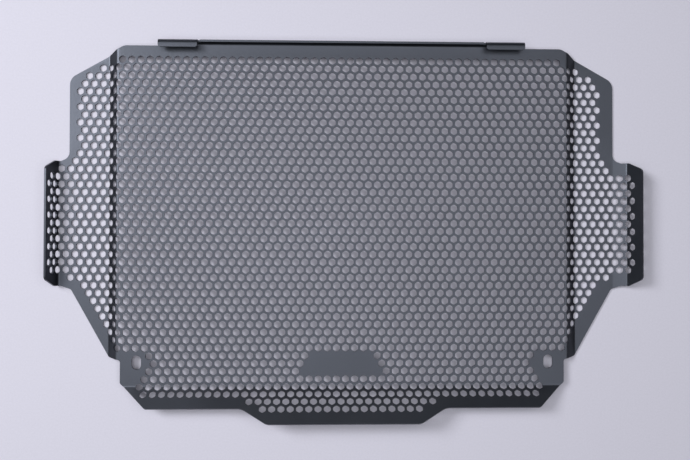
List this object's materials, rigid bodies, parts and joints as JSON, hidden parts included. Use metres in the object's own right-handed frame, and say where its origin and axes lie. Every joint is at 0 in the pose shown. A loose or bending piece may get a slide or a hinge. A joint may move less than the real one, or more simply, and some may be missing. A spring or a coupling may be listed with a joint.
{
  "type": "motorcycle radiator guard",
  "caption": "Folded, perforated sheet-metal guard for a motorcycle radiator, with hooked top flange, side tabs, bottom lip and two slots.",
  "frame": {"origin": "under the middle of the part's box, on the plane that the two wings lie on", "axes": "+X along the longest side, towards the tab with the ramp; +Y from the bottom lip to the hooked top flange; +Z away from the road side, towards the radiator"},
  "size_m": [0.4246, 0.2706, 0.0213],
  "materials": {
    "powder_coat": "satin black powder coat with a fine orange peel"
  },
  "bodies": {
    "root": {"guard": "powder_coat"}
  },
  "joints": []
}
